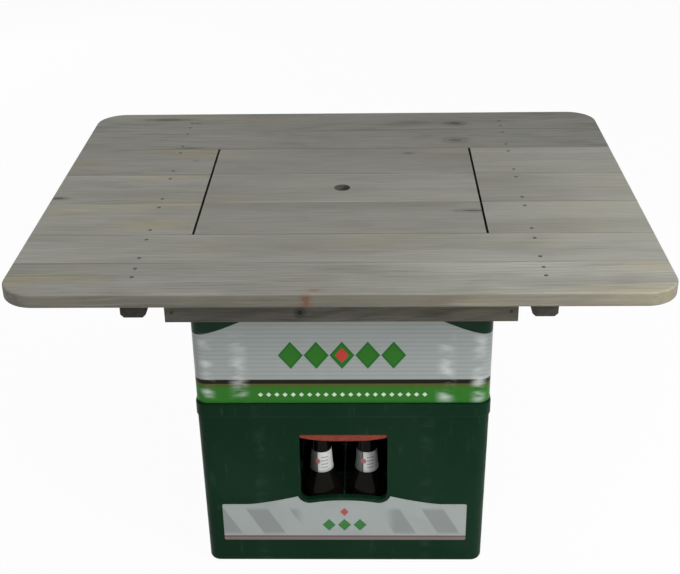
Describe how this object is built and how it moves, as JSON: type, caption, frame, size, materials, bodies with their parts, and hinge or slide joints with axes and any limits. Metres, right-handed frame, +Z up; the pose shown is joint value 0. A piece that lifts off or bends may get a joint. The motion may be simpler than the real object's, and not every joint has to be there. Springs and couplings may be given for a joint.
{
  "type": "beer crate table",
  "caption": "Low patio table of two stacked plastic bottle crates under a loose board top with rounded corners, a collar below it and a lift-out hatch with a finger hole.",
  "frame": {"origin": "on the ground, under the middle of the table", "axes": "+Z up, +X to the right along the boards, the front with the hand-hole faces -Y"},
  "size_m": [0.779, 0.6232, 0.5275],
  "materials": {
    "washed_wood": "grey wash, matt",
    "under_wood": "grey wash in shade, matt",
    "fixing_steel": "dull, weathered",
    "crate_plastic": "moulded, satin gloss",
    "strip_plastic": "moulded",
    "grip_plastic": "moulded",
    "bottle_glass": "dark, glossy",
    "cap_metal": "printed tin, plain"
  },
  "bodies": {
    "lower_crate": {"lower_crate": "crate_plastic", "lower_long_strip_1": "strip_plastic", "lower_long_strip_2": "strip_plastic", "lower_long_strip_3": "strip_plastic", "lower_cross_strip_1": "strip_plastic", "lower_cross_strip_2": "strip_plastic", "lower_cross_strip_3": "strip_plastic", "lower_cross_strip_4": "strip_plastic", "lower_cross_strip_5": "strip_plastic", "grip_front": "grip_plastic", "grip_back": "grip_plastic", "bottles": "bottle_glass", "bottle_caps": "cap_metal"},
    "upper_crate": {"upper_crate": "crate_plastic", "upper_long_strip_1": "strip_plastic", "upper_long_strip_2": "strip_plastic", "upper_long_strip_3": "strip_plastic", "upper_cross_strip_1": "strip_plastic", "upper_cross_strip_2": "strip_plastic", "upper_cross_strip_3": "strip_plastic", "upper_cross_strip_4": "strip_plastic", "upper_cross_strip_5": "strip_plastic"},
    "tabletop": {"front_edge_board": "washed_wood", "front_inner_board": "washed_wood", "back_inner_board": "washed_wood", "back_edge_board": "washed_wood", "left_front_board": "washed_wood", "left_middle_board": "washed_wood", "left_back_board": "washed_wood", "right_front_board": "washed_wood", "right_middle_board": "washed_wood", "right_back_board": "washed_wood", "cross_batten_left": "under_wood", "cross_batten_right": "under_wood", "collar_front": "under_wood", "collar_back": "under_wood", "collar_left": "under_wood", "collar_right": "under_wood", "plank_nails": "fixing_steel", "collar_screws": "fixing_steel", "side_screws": "fixing_steel"},
    "hatch": {"hatch_front_board": "washed_wood", "hatch_middle_board": "washed_wood", "hatch_back_board": "washed_wood", "hatch_batten_left": "under_wood", "hatch_batten_right": "under_wood", "hatch_screws": "fixing_steel"}
  },
  "joints": [
    {"name": "upper_crate_lift", "type": "slide", "parent": "lower_crate", "child": "upper_crate", "axis": [0, 0, 1], "range_m": [0, 0.15]},
    {"name": "tabletop_lift", "type": "slide", "parent": "upper_crate", "child": "tabletop", "axis": [0, 0, 1], "range_m": [0, 0.2]},
    {"name": "hatch_lift", "type": "slide", "parent": "upper_crate", "child": "hatch", "axis": [0, 0, 1], "range_m": [0, 0.3]}
  ]
}
